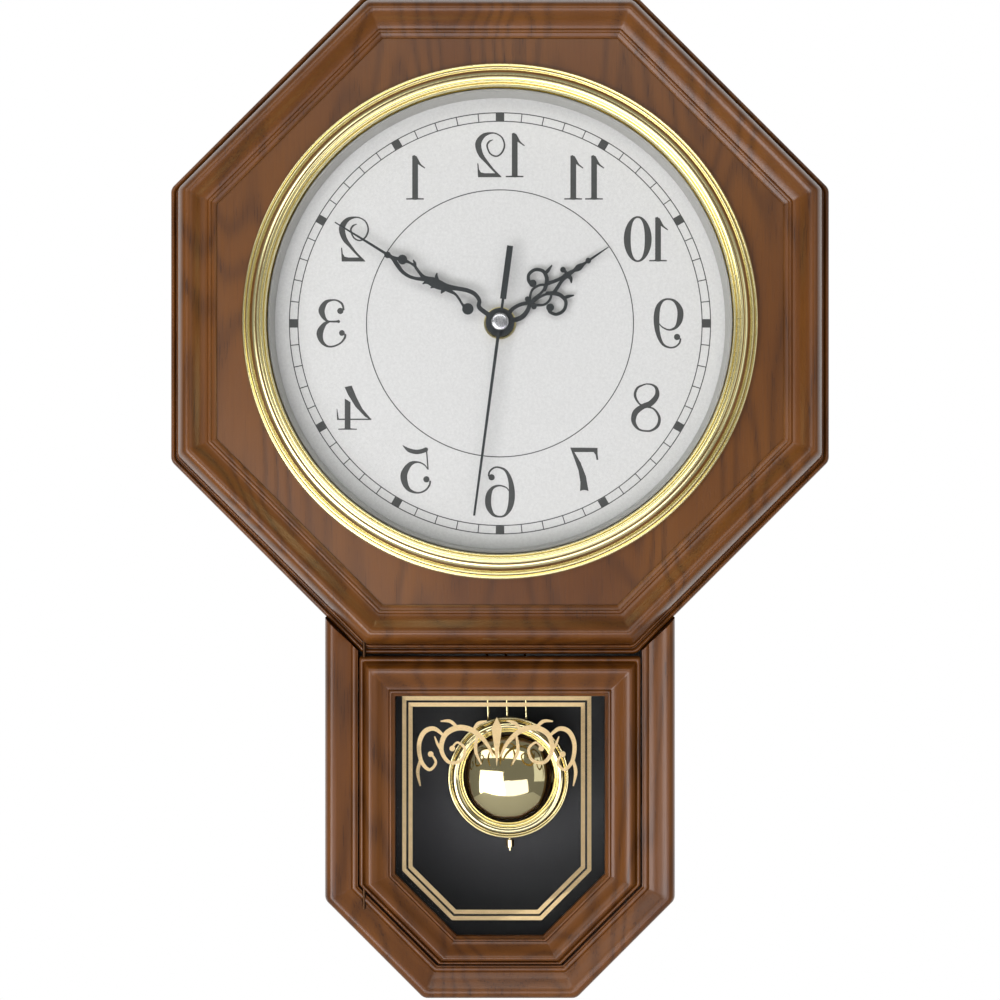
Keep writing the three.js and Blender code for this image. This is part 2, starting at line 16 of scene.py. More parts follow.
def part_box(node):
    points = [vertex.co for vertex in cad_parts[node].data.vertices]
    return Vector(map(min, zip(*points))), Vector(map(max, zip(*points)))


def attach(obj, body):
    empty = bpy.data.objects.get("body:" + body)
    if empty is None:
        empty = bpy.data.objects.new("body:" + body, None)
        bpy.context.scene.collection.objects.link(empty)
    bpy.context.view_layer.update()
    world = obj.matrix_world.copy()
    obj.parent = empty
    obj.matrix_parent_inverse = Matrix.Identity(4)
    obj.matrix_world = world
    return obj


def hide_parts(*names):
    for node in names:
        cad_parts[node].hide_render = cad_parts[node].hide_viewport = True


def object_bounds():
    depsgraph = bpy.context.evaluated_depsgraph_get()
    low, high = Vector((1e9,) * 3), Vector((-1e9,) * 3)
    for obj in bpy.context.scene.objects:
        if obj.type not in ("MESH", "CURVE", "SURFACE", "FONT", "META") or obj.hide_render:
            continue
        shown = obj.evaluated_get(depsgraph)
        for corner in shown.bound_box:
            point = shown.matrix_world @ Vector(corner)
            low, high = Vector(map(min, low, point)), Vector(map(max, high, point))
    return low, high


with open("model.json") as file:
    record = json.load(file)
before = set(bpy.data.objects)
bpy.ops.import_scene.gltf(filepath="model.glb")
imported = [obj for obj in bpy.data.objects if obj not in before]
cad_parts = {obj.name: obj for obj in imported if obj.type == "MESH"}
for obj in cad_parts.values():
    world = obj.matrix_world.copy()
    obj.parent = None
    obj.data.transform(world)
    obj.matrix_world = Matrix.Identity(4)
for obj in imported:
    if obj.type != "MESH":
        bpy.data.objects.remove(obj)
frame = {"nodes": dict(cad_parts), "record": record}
cad_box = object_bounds()

MM = 0.001
CASE = "case"
GAP = 0.3


def span(node):
    """Lowest and highest corner of a CAD node, in millimetres of the part's frame."""
    low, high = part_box(node)
    return Vector(low) / MM, Vector(high) / MM


bezel_low, bezel_high = span("bezel_ring")
DIAL_X = (bezel_low.x + bezel_high.x) / 2
DIAL_Z = (bezel_low.z + bezel_high.z) / 2
BEZEL_R = (bezel_high.x - bezel_low.x) / 2
DIAL_Y = span("dial_plate")[0].y
PANEL_Y = span("face_panel")[0].y
BOARD_Y = span("case_board_left")[0].y
OCTAGON_HALF = span("octagon_moulding_top")[1].z - DIAL_Z
CASE_HALF = span("case_board_right")[1].x
CASE_FOOT = span("case_board_bottom")[0].z - DIAL_Z
DOOR_LOW = span("door_frame_bottom")[0].z - DIAL_Z
DOOR_HIGH = span("door_frame_top")[1].z - DIAL_Z
DOOR_HALF = span("door_frame_right")[1].x
GLASS_BACK = span("door_glass")[1].y
GLASS_FRONT = span("door_glass")[0].y


def point(x, y, z):
    return Vector(((DIAL_X + x) * MM, y * MM, (DIAL_Z + z) * MM))


# ---------------------------------------------------------------- materials


def new_material(name):
    material = bpy.data.materials.new(name)
    material.use_nodes = True
    nodes = material.node_tree.nodes
    nodes.clear()
    output = nodes.new("ShaderNodeOutputMaterial")
    shader = nodes.new("ShaderNodeBsdfPrincipled")
    material.node_tree.links.new(shader.outputs["BSDF"], output.inputs["Surface"])
    return material, shader


def srgb(red, green, blue):
    """Linear colour of an 8-bit display colour."""
    def linear(value):
        value /= 255
        return value / 12.92 if value <= 0.04045 else ((value + 0.055) / 1.055) ** 2.4
    return (linear(red), linear(green), linear(blue), 1.0)


class Graph:
    """Short calls for adding shader nodes to one material."""

    def __init__(self, material):
        self.nodes = material.node_tree.nodes
        self.links = material.node_tree.links

    def link(self, output, socket):
        self.links.new(output, socket)

    def feed(self, socket, value):
        if hasattr(value, "is_output"):
            self.link(value, socket)
        else:
            socket.default_value = value

    def coordinates(self, scale=(1, 1, 1)):
        source = self.nodes.new("ShaderNodeTexCoord")
        mapping = self.nodes.new("ShaderNodeMapping")
        mapping.inputs["Scale"].default_value = scale
        self.link(source.outputs["Object"], mapping.inputs["Vector"])
        return mapping.outputs["Vector"]

    def noise(self, vector, scale, detail=2.0, roughness=0.5):
        node = self.nodes.new("ShaderNodeTexNoise")
        self.link(vector, node.inputs["Vector"])
        node.inputs["Scale"].default_value = scale
        node.inputs["Detail"].default_value = detail
        node.inputs["Roughness"].default_value = roughness
        return node.outputs["Fac"]

    def maths(self, operation, a, b=0.0, clamp=False):
        node = self.nodes.new("ShaderNodeMath")
        node.operation = operation
        node.use_clamp = clamp
        self.feed(node.inputs[0], a)
        self.feed(node.inputs[1], b)
        return node.outputs[0]

    def ramp(self, factor, *stops):
        node = self.nodes.new("ShaderNodeValToRGB")
        elements = node.color_ramp.elements
        while len(elements) < len(stops):
            elements.new(0.5)
        for element, (position, colour) in zip(elements, stops):
            element.position = position
            element.color = colour
        self.link(factor, node.inputs["Fac"])
        return node.outputs["Color"]

    def blend(self, factor, a, b, mode="MIX"):
        node = self.nodes.new("ShaderNodeMix")
        node.data_type = "RGBA"
        node.blend_type = mode
        self.feed(node.inputs[0], factor)
        self.feed(node.inputs[6], a)
        self.feed(node.inputs[7], b)
        return node.outputs[2]

    def bump(self, height, strength, distance, shader):
        node = self.nodes.new("ShaderNodeBump")
        node.inputs["Strength"].default_value = strength
        node.inputs["Distance"].default_value = distance
        self.link(height, node.inputs["Height"])
        self.link(node.outputs["Normal"], shader.inputs["Normal"])


def grey(value):
    return (value, value, value, 1.0)


def wood(name, light, middle, dark, seed=0.0):
    """Open-grained wood: contour lines of a tall soft noise, with short pores along the grain."""
    material, shader = new_material(name)
    g = Graph(material)
    tall = g.coordinates((1, 1, 0.2))
    wander = g.noise(tall, 13 + seed, 2.0, 0.45)
    wave = g.maths("SINE", g.maths("MULTIPLY", wander, 130))
    line = g.maths("POWER", g.maths("ADD", g.maths("MULTIPLY", wave, 0.5), 0.5), 2.0)
    thread = g.noise(g.coordinates((1, 1, 0.03)), 900, 3.0, 0.65)
    pores = g.maths("GREATER_THAN", g.noise(g.coordinates((1, 1, 0.05)), 1500, 1.0), 0.62)
    cloud = g.noise(g.coordinates((1, 1, 0.45)), 22, 3.0)
    base = g.ramp(cloud, (0.3, middle), (0.7, light))
    grained = g.blend(g.maths("MULTIPLY", line, 0.4), base, dark)
    streaked = g.blend(g.maths("MULTIPLY", thread, 0.3), grained, dark, "MULTIPLY")
    pored = g.blend(g.maths("MULTIPLY", pores, g.maths("ADD", g.maths("MULTIPLY", line, 0.5), 0.1)),
                    streaked, dark)
    g.link(pored, shader.inputs["Base Color"])
    g.link(g.ramp(thread, (0.2, grey(0.27)), (0.8, grey(0.36))), shader.inputs["Roughness"])
    shader.inputs["Specular IOR Level"].default_value = 0.42
    shader.inputs["Coat Weight"].default_value = 0.08
    shader.inputs["Coat Roughness"].default_value = 0.22
    relief = g.maths("ADD", g.maths("MULTIPLY", pores, -0.6), g.maths("MULTIPLY", line, -0.5))
    g.bump(relief, 0.25, 0.0002, shader)
    return material


def metal(name, colour, roughness, mottle=0.04, brushed=None):
    material, shader = new_material(name)
    g = Graph(material)
    shader.inputs["Metallic"].default_value = 1.0
    spots = g.noise(g.coordinates(brushed or (1, 1, 1)), 400 if brushed else 120, 3.0)
    low = tuple(channel * 0.96 for channel in colour[:3]) + (1.0,)
    g.link(g.ramp(spots, (0.3, low), (0.7, colour)), shader.inputs["Base Color"])
    g.link(g.ramp(spots, (0.3, grey(roughness)), (0.7, grey(roughness + mottle))),
           shader.inputs["Roughness"])
    return material


def plain(name, colour, roughness, grain=0.0, scale=600, metallic=0.0):
    """Paint, print or moulded plastic with a fine grain."""
    material, shader = new_material(name)
    g = Graph(material)
    shader.inputs["Metallic"].default_value = metallic
    texture = g.noise(g.coordinates(), scale, 3.0)
    darker = tuple(channel * 0.9 for channel in colour[:3]) + (1.0,)
    g.link(g.ramp(texture, (0.3, darker), (0.7, colour)), shader.inputs["Base Color"])
    shader.inputs["Roughness"].default_value = roughness
    if grain:
        g.bump(texture, grain, 0.0001, shader)
    return material


def clear_glass(name, tint=0.0):
    """Thin window glass: see-through, with a mirror-like surface that strengthens at an angle."""
    material, shader = new_material(name)
    g = Graph(material)
    output = next(node for node in g.nodes if node.type == "OUTPUT_MATERIAL")
    shader.inputs["Base Color"].default_value = srgb(20, 24, 24)
    shader.inputs["Roughness"].default_value = 0.02
    shader.inputs["Metallic"].default_value = 0.0
    see_through = g.nodes.new("ShaderNodeBsdfTransparent")
    see_through.inputs["Color"].default_value = grey(1.0 - tint)
    weight = g.nodes.new("ShaderNodeLayerWeight")
    weight.inputs["Blend"].default_value = 0.5
    rim = g.maths("MULTIPLY", g.maths("POWER", weight.outputs["Facing"], 5.0), 0.7)
    mix = g.nodes.new("ShaderNodeMixShader")
    g.link(g.maths("ADD", rim, 0.03), mix.inputs[0])
    g.link(see_through.outputs[0], mix.inputs[1])
    g.link(shader.outputs[0], mix.inputs[2])
    g.link(mix.outputs[0], output.inputs["Surface"])
    return material


WOOD = wood("stained_wood", srgb(124, 74, 22), srgb(102, 57, 14), srgb(56, 28, 7))
FACE_WOOD = wood("stained_face", srgb(116, 70, 20), srgb(96, 54, 14), srgb(58, 30, 8), 1.5)
BLACK = plain("black_paint", srgb(54, 56, 56), 0.5, 0.2, 300)
BRASS = metal("polished_brass", srgb(242, 229, 176), 0.05, 0.01)
BEZEL_BRASS = metal("bezel_brass", srgb(246, 234, 178), 0.2, 0.01)
STEEL = metal("bright_steel", srgb(205, 206, 208), 0.22, 0.1, (1, 1, 0.05))
COPPER = metal("copper_wire", srgb(190, 110, 70), 0.3)
BRONZE = metal("dark_bronze", srgb(70, 50, 34), 0.4)
REFLECTOR = plain("grey_reflector", srgb(182, 182, 176), 0.3)
DIAL = plain("white_dial", srgb(219, 220, 217), 0.55, 0.05, 900)
PRINT = plain("dial_print", srgb(66, 68, 66), 0.5)
HAND = plain("hand_paint", srgb(40, 45, 46), 0.38, 0.05)
PLASTIC = plain("black_plastic", srgb(36, 36, 39), 0.45, 0.3, 1200)
NYLON = plain("white_nylon", srgb(228, 226, 214), 0.45)
GILT = plain("gilt_print", srgb(236, 206, 148), 0.4, 0.0, 300, 0.1)
GLASS = clear_glass("window_glass")
DOOR_GLASS = clear_glass("door_window_glass", 0.04)


# ---------------------------------------------------------------- mesh helpers


def add_mesh(name, vertices, faces, material, body=CASE, replaces=(), slot=None, smooth=None):
    """An object riding on a body; smooth is the angle in degrees past which an edge stays sharp."""
    mesh = bpy.data.meshes.new(name)
    mesh.from_pydata([tuple(v) for v in vertices], [], faces)
    work = bmesh.new()
    work.from_mesh(mesh)
    bmesh.ops.remove_doubles(work, verts=work.verts, dist=1e-7)
    bmesh.ops.recalc_face_normals(work, faces=work.faces)
    work.to_mesh(mesh)
    work.free()
    if smooth:
        mesh.shade_smooth()
        mesh.set_sharp_from_angle(angle=math.radians(smooth))
    mesh.materials.append(material)
    thing = bpy.data.objects.new(name, mesh)
    bpy.context.scene.collection.objects.link(thing)
    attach(thing, body)
    if replaces:
        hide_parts(*replaces)
    return thing


def catmull(points, steps):
    """A smooth run through points of any width, with the ends kept."""
    ends = [points[0], *points, points[-1]]
    run = []
    for a, b, c, d in zip(ends, ends[1:], ends[2:], ends[3:]):
        for k in range(steps):
            t = k / steps
            run.append(tuple(
                0.5 * (2 * q + (r - p) * t + (2 * p - 5 * q + 4 * r - s) * t * t
                       + (3 * q - p - 3 * r + s) * t * t * t)
                for p, q, r, s in zip(a, b, c, d)
            ))
    run.append(tuple(points[-1]))
    return run


def smooth_section(*strokes, steps=5):
    """Joins strokes into one section: each stroke is smooth, and their meetings are sharp."""
    section = []
    for stroke in strokes:
        section += catmull(stroke, steps) if len(stroke) > 2 else list(stroke)
    return section


def turned(profile, sides, axis_x=0.0, axis_z=0.0):
    """Vertices and faces of a [radius, y] profile turned about a line parallel to Y.

    A profile that doesn't start on the axis is closed on itself."""
    vertices, faces = [], []
    open_ends = profile[0][0] == 0
    for i in range(sides):
        angle = 2 * math.pi * i / sides
        for radius, y in profile:
            vertices.append(point(axis_x + radius * math.cos(angle), y,
                                  axis_z + radius * math.sin(angle)))
    count = len(profile)
    for i in range(sides):
        j = (i + 1) % sides
        for k in range(count - 1 if open_ends else count):
            n = (k + 1) % count
            ring = [i * count + k, i * count + n, j * count + n, j * count + k]
            if profile[k][0] == 0:
                ring = ring[:3]
            elif profile[n][0] == 0:
                ring = [ring[0], ring[1], ring[3]]
            faces.append(ring)
    return vertices, faces


def prism(outline, y_back, y_front, place=point):
    """A flat outline of [x, z] as a solid from y_back to y_front, with its caps in triangles."""
    triangles = tessellate_polygon([[Vector((x, z, 0)) for x, z in outline]])
    count = len(outline)
    vertices = [place(x, y_front, z) for x, z in outline]
    vertices += [place(x, y_back, z) for x, z in outline]
    faces = [tuple(t) for t in triangles]
    faces += [tuple(count + k for k in reversed(t)) for t in triangles]
    faces += [(k, (k + 1) % count, count + (k + 1) % count, count + k) for k in range(count)]
    return vertices, faces


def combined(parts):
    vertices, faces = [], []
    for more_vertices, more_faces in parts:
        start = len(vertices)
        vertices += more_vertices
        faces += [tuple(start + k for k in face) for face in more_faces]
    return vertices, faces


def ribbon(stroke, steps=6):
    """Outline of a stroke given as [x, z, width] points."""
    run = catmull(stroke, steps) if len(stroke) > 2 else stroke
    left, right = [], []
    for i, (x, z, width) in enumerate(run):
        ahead = run[min(i + 1, len(run) - 1)]
        behind = run[max(i - 1, 0)]
        run_x, run_z = ahead[0] - behind[0], ahead[1] - behind[1]
        length = math.hypot(run_x, run_z) or 1.0
        side_x, side_z = -run_z / length * width / 2, run_x / length * width / 2
        left.append((x + side_x, z + side_z))
        right.append((x - side_x, z - side_z))
    return left + right[::-1]


def ball(x, z, radius, sides=20):
    return [(x + radius * math.cos(2 * math.pi * k / sides),
             z + radius * math.sin(2 * math.pi * k / sides)) for k in range(sides)]


STROKES, BALLS, POLYGONS = "strokes", "balls", "polygons"

def as_quads(stroke, steps=6):
    """A stroke of [x, z, width] points as short four-sided pieces, with a disc at each joint."""
    outline = ribbon(stroke, steps)
    count = len(outline) // 2
    left, right = outline[:count], outline[:count - 1:-1]
    quads = [[left[k], right[k], right[k + 1], left[k + 1]] for k in range(count - 1)]
    run = catmull(stroke, steps) if len(stroke) > 2 else stroke
    joints = [ball(x, z, width / 2, 12) for x, z, width in run[1:-1]] if len(stroke) > 2 else []
    return quads + joints


def covers(outline, x, z):
    inside = False
    for (ax, az), (bx, bz) in zip(outline, outline[1:] + outline[:1]):
        if (az > z) != (bz > z) and x < ax + (z - az) / (bz - az) * (bx - ax):
            inside = not inside
    return inside


def merged(drawing, y_back, y_front, place=point):
    """The union of a drawing's strokes, balls and polygons as one flat solid."""
    outlines = list(drawing.get(POLYGONS, []))
    for stroke in drawing.get(STROKES, []):
        outlines += as_quads(stroke)
    outlines += [ball(*disc, sides=32) for disc in drawing.get(BALLS, [])]
    corners, loops = [], []
    for outline in outlines:
        area = sum(a[0] * b[1] - b[0] * a[1] for a, b in zip(outline, outline[1:] + outline[:1]))
        loops.append(list(range(len(corners), len(corners) + len(outline))))
        corners += [Vector(p) for p in (outline if area > 0 else outline[::-1])]
    flat_corners, _, triangles, *_ = delaunay_2d_cdt(corners, [], loops, 1, 1e-5)
    boxes = [
        (min(x for x, _ in o), max(x for x, _ in o), min(z for _, z in o), max(z for _, z in o), o)
        for o in outlines
    ]
    kept = []
    for triangle in triangles:
        x, z = sum((flat_corners[k] for k in triangle), Vector((0, 0))) / 3
        if any(x0 < x < x1 and z0 < z < z1 and covers(o, x, z) for x0, x1, z0, z1, o in boxes):
            kept.append(triangle)
    edges = {(t[k], t[(k + 1) % len(t)]) for t in kept for k in range(len(t))}
    rim = [(a, b) for a, b in edges if (b, a) not in edges]
    count = len(flat_corners)
    vertices = [place(p.x, y_front, p.y) for p in flat_corners]
    vertices += [place(p.x, y_back, p.y) for p in flat_corners]
    faces = [tuple(t) for t in kept] + [tuple(count + k for k in reversed(t)) for t in kept]
    faces += [(a, b, count + b, count + a) for a, b in rim]
    used = sorted({k for face in faces for k in face})
    renumbered = {old: new for new, old in enumerate(used)}
    return [vertices[k] for k in used], [tuple(renumbered[k] for k in face) for face in faces]


# ---------------------------------------------------------------- mitred bars


def inset_corner(outline, i, insets):
    """Where the sides that meet at corner i cross, each moved inward by its own distance."""
    count = len(outline)

    def line(k):
        (ax, az), (bx, bz) = outline[k], outline[(k + 1) % count]
        length = math.hypot(bx - ax, bz - az)
        dx, dz = (bx - ax) / length, (bz - az) / length
        return ax - dz * insets[k], az + dx * insets[k], dx, dz

    px, pz, pdx, pdz = line((i - 1) % count)
    qx, qz, qdx, qdz = line(i)
    along = ((qx - px) * qdz - (qz - pz) * qdx) / (pdx * qdz - pdz * qdx)
    return px + pdx * along, pz + pdz * along


def half_corner(outline, i, insets, radius, steps, incoming):
    """Half of the rounded corner i, from the mitre outwards, for the bar before or after it."""
    corner = Vector(inset_corner(outline, i, insets))
    count = len(outline)
    before = (Vector(outline[i - 1]) - Vector(outline[i])).normalized()
    after = (Vector(outline[(i + 1) % count]) - Vector(outline[i])).normalized()
    half_angle = before.angle(after) / 2
    centre = corner + (before + after).normalized() * (radius / math.sin(half_angle))
    away = before if incoming else after
    tangent = corner + away * (radius / math.tan(half_angle))
    start = (corner - centre).normalized()
    end = (tangent - centre).normalized()
    turn = start.angle(end)
    points = []
    for k in range(steps + 1):
        t = k / steps
        direction = (start * math.sin((1 - t) * turn) + end * math.sin(t * turn)) / math.sin(turn)
        points.append(centre + direction * radius)
    return points


def mitred_bar(outline, i, widths, section, rounding, steps=4, open_start=None, open_end=None):
    """The bar on side i of an anticlockwise outline, with its corners rounded in plan.

    section is a closed list of (share of the width, y). rounding(share) is the corner radius.
    open_start and open_end are functions of x that give the height of a sawn end."""
    count = len(outline)
    rows = []
    for share, y in section:
        insets = [width * share for width in widths]
        radius = rounding(share)
        first = half_corner(outline, i, insets, radius, steps, False)
        last = half_corner(outline, (i + 1) % count, insets, radius, steps, True)[::-1]
        if open_start:
            first = [Vector((last[0].x, open_start(last[0].x)))]
        if open_end:
            last = [Vector((first[-1].x, open_end(first[-1].x)))]
        rows.append([(p.x, y, p.y) for p in first + last])
    stations = len(rows[0])
    vertices = [point(*p) for row in rows for p in row]
    size = len(section)
    faces = []
    for k in range(size):
        n = (k + 1) % size
        for s in range(stations - 1):
            faces.append((k * stations + s, n * stations + s,
                          n * stations + s + 1, k * stations + s + 1))
    flat = [Vector((share * widths[i], y, 0)) for share, y in section]
    for triangle in tessellate_polygon([flat]):
        faces.append(tuple(k * stations for k in triangle))
        faces.append(tuple(k * stations + stations - 1 for k in reversed(triangle)))
    return vertices, faces


# ---------------------------------------------------------------- case mouldings

OCTAGON_SIDES = [
    "upper_right", "top", "upper_left", "left", "lower_left", "bottom", "lower_right", "right",
]
DROP_SIDES = ["left", "lower_left", "bottom", "lower_right", "right", "top"]

OCTAGON_RADIUS = OCTAGON_HALF / math.cos(math.pi / 8)
OCTAGON_OUTLINE = [
    (OCTAGON_RADIUS * math.cos(math.pi * (0.125 + 0.25 * i)),
     OCTAGON_RADIUS * math.sin(math.pi * (0.125 + 0.25 * i)))
    for i in range(8)
]
OCTAGON_MOULDING = 23.0
BOARD_FRONT = BOARD_Y - GAP

OCTAGON_SECTION = smooth_section(
    [(0, BOARD_FRONT), (0, -53.4)],
    [(0, -53.4), (0.012, -55.2), (0.04, -56.4), (0.075, -56.6), (0.10, -55.9), (0.112, -54.9)],
    [(0.122, -54.9), (0.135, -56.6), (0.16, -57.8), (0.19, -57.8), (0.208, -56.9)],
    [(0.216, -57.2), (0.225, -62), (0.245, -67), (0.30, -72.4), (0.39, -76.5), (0.48, -78),
     (0.56, -77.6), (0.64, -76), (0.72, -74), (0.80, -72.6), (0.855, -72)],
    [(0.862, -71.8), (0.876, -72.2), (0.90, -72.4), (0.925, -72.15), (0.94, -71.65)],
    [(1, -71.2), (1, PANEL_Y - GAP), (0.6, PANEL_Y - GAP), (0.6, BOARD_FRONT)],
)

DROP_TOP = -125.0
CASE_CHAMFER = 45.5
DOOR_CHAMFER = 36.6


def cut_corner_outline(half, top, foot, chamfer, middle=0.0):
    """An open-topped outline with cut lower corners, from the top left round to the top right."""
    return [
        (middle - half, top), (middle - half, foot + chamfer), (middle - half + chamfer, foot),
        (middle + half - chamfer, foot), (middle + half, foot + chamfer), (middle + half, top),
    ]


DROP_OUTLINE = cut_corner_outline(CASE_HALF, DROP_TOP, CASE_FOOT, CASE_CHAMFER)
DROP_MOULDING = 15.2
DROP_SECTION = smooth_section(
    [(0, BOARD_FRONT), (0, -56.6)],
    [(0, -56.6), (0.02, -58.6), (0.08, -60.8), (0.2, -62.3), (0.34, -62.2), (0.5, -61),
     (0.66, -59.6), (0.8, -58.7)],
    [(0.815, -58.4), (0.83, -59.0), (0.88, -59.4), (0.94, -59.3), (0.965, -58.8)],
    [(1, -58.6), (1, BOARD_FRONT)],
)

DOOR_OUTLINE = cut_corner_outline(DOOR_HALF, DOOR_HIGH, DOOR_LOW, DOOR_CHAMFER)
DOOR_WIDTHS = [16.3, 15.0, 13.0, 15.0, 16.3, 18.0]
DOOR_SECTION = smooth_section(
    [(0, -53), (0, -58.6)],
    [(0, -58.6), (0.015, -60), (0.05, -61), (0.10, -61), (0.13, -60.2)],
    [(0.14, -60), (0.165, -61.5), (0.22, -64.1), (0.29, -65.5), (0.38, -65.5), (0.5, -64.4),
     (0.62, -62.8), (0.74, -61.4), (0.83, -60.8)],
    [(0.84, -60.4), (0.85, -61), (0.88, -61.5), (0.92, -61.3), (0.935, -60.6)],
    [(1, -59.8), (1, GLASS_FRONT - GAP), (0.8, GLASS_FRONT - GAP), (0.8, -53)],
)


def corner_radius(share):
    return 3.8 * (1 - share) + 0.9


def sawn_on_octagon(x):
    """Height of the octagon's lower diagonal side above the point x."""
    return abs(x) - (OCTAGON_HALF + GAP) * math.sqrt(2)


for i, side in enumerate(OCTAGON_SIDES):
    bar = mitred_bar(OCTAGON_OUTLINE, i, [OCTAGON_MOULDING] * 8, OCTAGON_SECTION, corner_radius)
    node = f"octagon_moulding_{side}"
    add_mesh(f"{node}_fine", *bar, WOOD, CASE, [node], "wood", smooth=32)

drop_widths = [DROP_MOULDING] * 5 + [0.0]
for i, side in enumerate(DROP_SIDES[:5]):
    sawn_start = sawn_on_octagon if side == "left" else None
    sawn_end = sawn_on_octagon if side == "right" else None
    bar = mitred_bar(DROP_OUTLINE, i, drop_widths, DROP_SECTION, corner_radius,
                     open_start=sawn_start, open_end=sawn_end)
    node = f"drop_moulding_{side}"
    add_mesh(f"{node}_fine", *bar, WOOD, CASE, [node], "wood", smooth=32)

for i, side in enumerate(DROP_SIDES):
    bar = mitred_bar(DOOR_OUTLINE, i, DOOR_WIDTHS, DOOR_SECTION,
                     lambda share: 0.9 if share < 0.5 else 0.5)
    node = f"door_frame_{side}"
    add_mesh(f"{node}_fine", *bar, WOOD, "door", [node], "wood", smooth=32)


# ---------------------------------------------------------------- bezel, glass, reflector, dial

BEZEL_BORE = 105.6
GLASS_SEAT = 107.6
BEZEL_SECTION = smooth_section(
    [(BEZEL_BORE, PANEL_Y - GAP), (BEZEL_R, PANEL_Y - GAP)],
    [(BEZEL_R, -71.6), (BEZEL_R - 0.3, -72.6), (BEZEL_R - 1.0, -73.1), (BEZEL_R - 1.7, -72.8)],
    [(BEZEL_R - 1.8, -72.9), (BEZEL_R - 2.1, -74.1), (BEZEL_R - 2.8, -74.7), (BEZEL_R - 3.5, -74.4)],
    [(BEZEL_R - 3.6, -74.6), (BEZEL_R - 4.6, -76.6), (BEZEL_R - 5.9, -78.0), (BEZEL_R - 7.0, -78.4)],
    [(BEZEL_R - 7.1, -78.8), (BEZEL_R - 7.6, -80.0), (BEZEL_R - 8.4, -80.6), (BEZEL_R - 9.2, -80.4)],
    [(BEZEL_R - 9.3, -79.9), (BEZEL_R - 9.8, -80.1), (BEZEL_R - 10.5, -79.9), (GLASS_SEAT - 0.9, -79.2)],
    [(106.5, -78.8), (106.2, -79.1), (105.8, -78.9), (BEZEL_BORE, -78.3)],
    [(BEZEL_BORE, -75.9), (GLASS_SEAT, -75.9), (GLASS_SEAT, -73.3), (BEZEL_BORE, -73.3)],
)
add_mesh("bezel_turned", *turned(BEZEL_SECTION, 256), BEZEL_BRASS, CASE, ["bezel_ring"], "brass", 30)

GLASS_LOW, GLASS_HIGH = span("dial_glass")
GLASS_R = GLASS_SEAT - GAP
glass_profile = [
    (0, GLASS_HIGH.y), (GLASS_R, GLASS_HIGH.y), (GLASS_R, GLASS_LOW.y), (0, GLASS_LOW.y),
]
add_mesh("dial_glass_round", *turned(glass_profile, 192), GLASS, CASE, ["dial_glass"], "glass", 30)

reflector_profile = [
    (103.4, DIAL_Y - GAP), (104.9, DIAL_Y - GAP), (105.2, GLASS_HIGH.y + GAP),
    (104.5, GLASS_HIGH.y + GAP), (104.3, -73.0), (103.9, -66.0),
]
add_mesh("reflector_turned", *turned(reflector_profile, 192), REFLECTOR, CASE, ["reflector_ring"],
         "grey_plastic", 30)

DIAL_R = 106.0
DIAL_THICK = 0.8
STEM_HOLE_R = 4.2
dial_profile = [
    (STEM_HOLE_R, DIAL_Y + DIAL_THICK), (DIAL_R, DIAL_Y + DIAL_THICK),
    (DIAL_R, DIAL_Y), (STEM_HOLE_R, DIAL_Y),
]
add_mesh("dial_disc", *turned(dial_profile, 192), DIAL, CASE, ["dial_plate"], "dial", 30)


# ---------------------------------------------------------------- dial print

PRINT_THICK = 0.05
LINE = 0.45


def printed(name, parts):
    add_mesh(name, *combined(parts), PRINT, CASE, (), "hand_black")


def flat(outline):
    return prism(outline, DIAL_Y, DIAL_Y - PRINT_THICK)


def ring_line(radius):
    profile = [
        (radius - LINE / 2, DIAL_Y), (radius + LINE / 2, DIAL_Y),
        (radius + LINE / 2, DIAL_Y - PRINT_THICK), (radius - LINE / 2, DIAL_Y - PRINT_THICK),
    ]
    return turned(profile, 180)


def radial_block(angle, inner, outer, width):
    """A block that stands on the radius at an angle from twelve, anticlockwise."""
    across = (math.cos(angle), math.sin(angle))
    out = (-math.sin(angle), math.cos(angle))
    corners = [(-width / 2, inner), (width / 2, inner), (width / 2, outer), (-width / 2, outer)]
    return flat([(a * across[0] + r * out[0], a * across[1] + r * out[1]) for a, r in corners])


TRACK_INNER, TRACK_OUTER, CHAPTER = 92.8, 96.7, 61.3
printed("minute_track", [ring_line(TRACK_INNER), ring_line(TRACK_OUTER)])
printed("chapter_circle", [ring_line(CHAPTER)])
printed("minute_ticks", [
    radial_block(math.radians(6 * k), TRACK_INNER + LINE / 2, TRACK_OUTER - LINE / 2, LINE)
    for k in range(60) if k % 5
])
printed("hour_blocks", [
    radial_block(math.radians(30 * k), TRACK_INNER + LINE / 2, TRACK_OUTER - LINE / 2, 3.9)
    for k in range(12)
])

